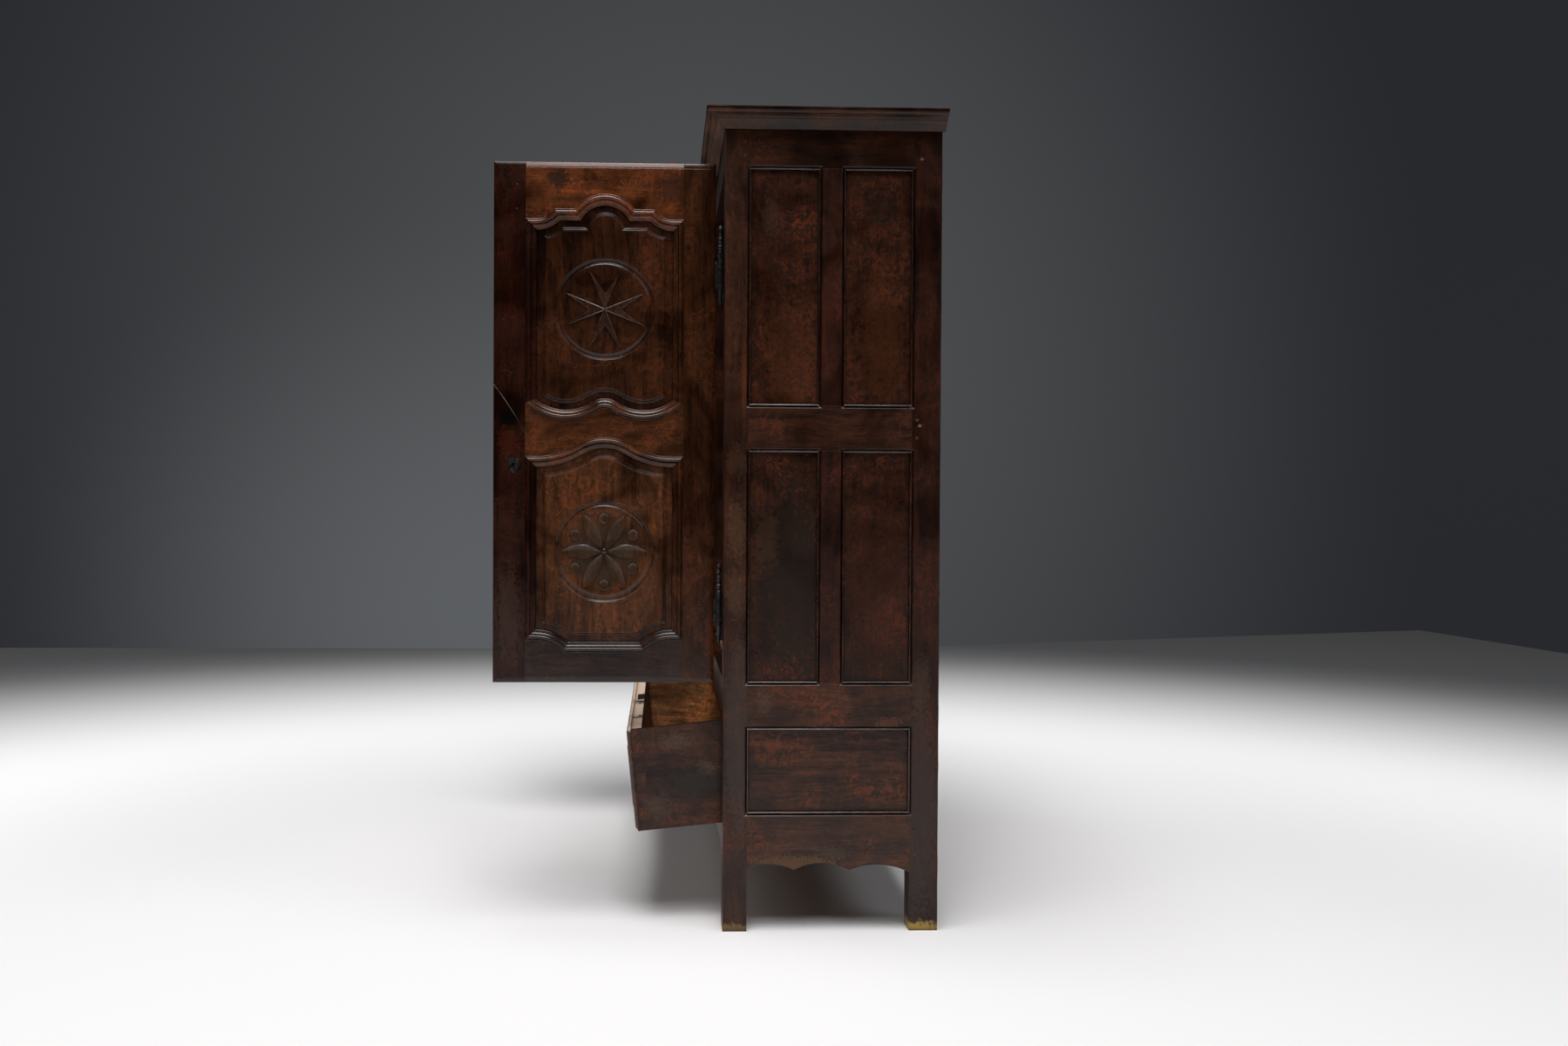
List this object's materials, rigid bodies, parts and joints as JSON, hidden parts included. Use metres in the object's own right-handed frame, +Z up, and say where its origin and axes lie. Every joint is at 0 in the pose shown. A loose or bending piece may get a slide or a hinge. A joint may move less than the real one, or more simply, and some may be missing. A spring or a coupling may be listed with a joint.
{
  "type": "armoire",
  "caption": "Tall antique walnut press: panelled sides, carved doors standing open on finial hinges, a wide drawer drawn out below, moulded cornice.",
  "frame": {"origin": "middle of the bounding box at floor level, doors open and drawer drawn out", "axes": "+Z up, the front looks towards -Y, +X towards the right-hand side of someone facing -Y to +Y, where the locking door hangs"},
  "size_m": [1.382, 1.1496, 2.08],
  "materials": {
    "walnut": "old dark walnut, waxed and worn",
    "inner_wood": "bare brown secondary wood",
    "iron": "dark forged iron"
  },
  "bodies": {
    "carcase": {"post_front_right": "walnut", "post_front_left": "walnut", "post_rear_right": "walnut", "post_rear_left": "walnut", "side_top_rails": "walnut", "side_middle_rails": "walnut", "side_lower_rails": "walnut", "side_aprons": "walnut", "side_muntins": "walnut", "side_panels_right": "walnut", "side_panels_left": "walnut", "side_bottom_panels": "walnut", "front_top_rail": "walnut", "front_middle_rail": "walnut", "front_apron": "walnut", "back_rails": "inner_wood", "back_planks": "inner_wood", "top_boards": "inner_wood", "cupboard_floor": "inner_wood", "floor_bearers": "inner_wood", "shelves": "inner_wood", "shelf_cleats": "inner_wood", "drawer_runners": "inner_wood", "cornice_front": "walnut", "cornice_right": "walnut", "cornice_left": "walnut", "frame_pegs": "walnut", "hinge_knuckles": "iron", "hinge_pins": "iron"},
    "right_door": {"right_hinge_stile": "walnut", "right_lock_stile": "walnut", "right_top_rail": "walnut", "right_middle_rail": "walnut", "right_bottom_rail": "walnut", "right_upper_panel": "walnut", "right_lower_panel": "walnut", "right_hinge_leaves": "iron", "door_lock": "iron", "door_escutcheon": "iron"},
    "left_door": {"left_hinge_stile": "walnut", "left_lock_stile": "walnut", "left_top_rail": "walnut", "left_middle_rail": "walnut", "left_bottom_rail": "walnut", "left_upper_panel": "walnut", "left_lower_panel": "walnut", "left_hinge_leaves": "iron", "left_door_staples": "iron"},
    "lock_bolt": {"door_lock_bolt": "iron"},
    "upper_bolt": {"upper_bolt": "iron"},
    "lower_bolt": {"lower_bolt": "iron"},
    "rollers": {"drawer_rollers": "iron"},
    "drawer": {"drawer_front": "walnut", "drawer_side_right": "walnut", "drawer_side_left": "walnut", "drawer_back": "inner_wood", "drawer_bottom": "inner_wood", "drawer_lock": "iron", "drawer_escutcheon": "iron"}
  },
  "joints": [
    {"name": "right_door_hinge", "type": "hinge", "parent": "carcase", "child": "right_door", "pos_m": [0.583, 0.00725, 1.209], "axis": [0, 0, 1], "range_deg": [-90, 85]},
    {"name": "left_door_hinge", "type": "hinge", "parent": "carcase", "child": "left_door", "pos_m": [-0.583, 0.00725, 1.209], "axis": [0, 0, -1], "range_deg": [-90, 85]},
    {"name": "lock_bolt_slide", "type": "slide", "parent": "right_door", "child": "lock_bolt", "axis": [0, -1, 0], "range_m": [0, 0.014]},
    {"name": "upper_bolt_slide", "type": "slide", "parent": "left_door", "child": "upper_bolt", "axis": [0, 0, 1], "range_m": [0, 0.025]},
    {"name": "lower_bolt_slide", "type": "slide", "parent": "left_door", "child": "lower_bolt", "axis": [0, 0, -1], "range_m": [0, 0.025]},
    {"name": "drawer_tilt", "type": "hinge", "parent": "carcase", "child": "rollers", "pos_m": [0, 0.02675, 0.2517], "axis": [1, 0, 0], "range_deg": [-5.76, 2.06]},
    {"name": "drawer_slide", "type": "slide", "parent": "rollers", "child": "drawer", "axis": [0, -0.995, -0.1002], "range_m": [-0.224, 0.08]}
  ],
  "couplings": [
    {"joint": "drawer_tilt", "follows": "drawer_slide", "rad_per_m": 0.44802}
  ]
}
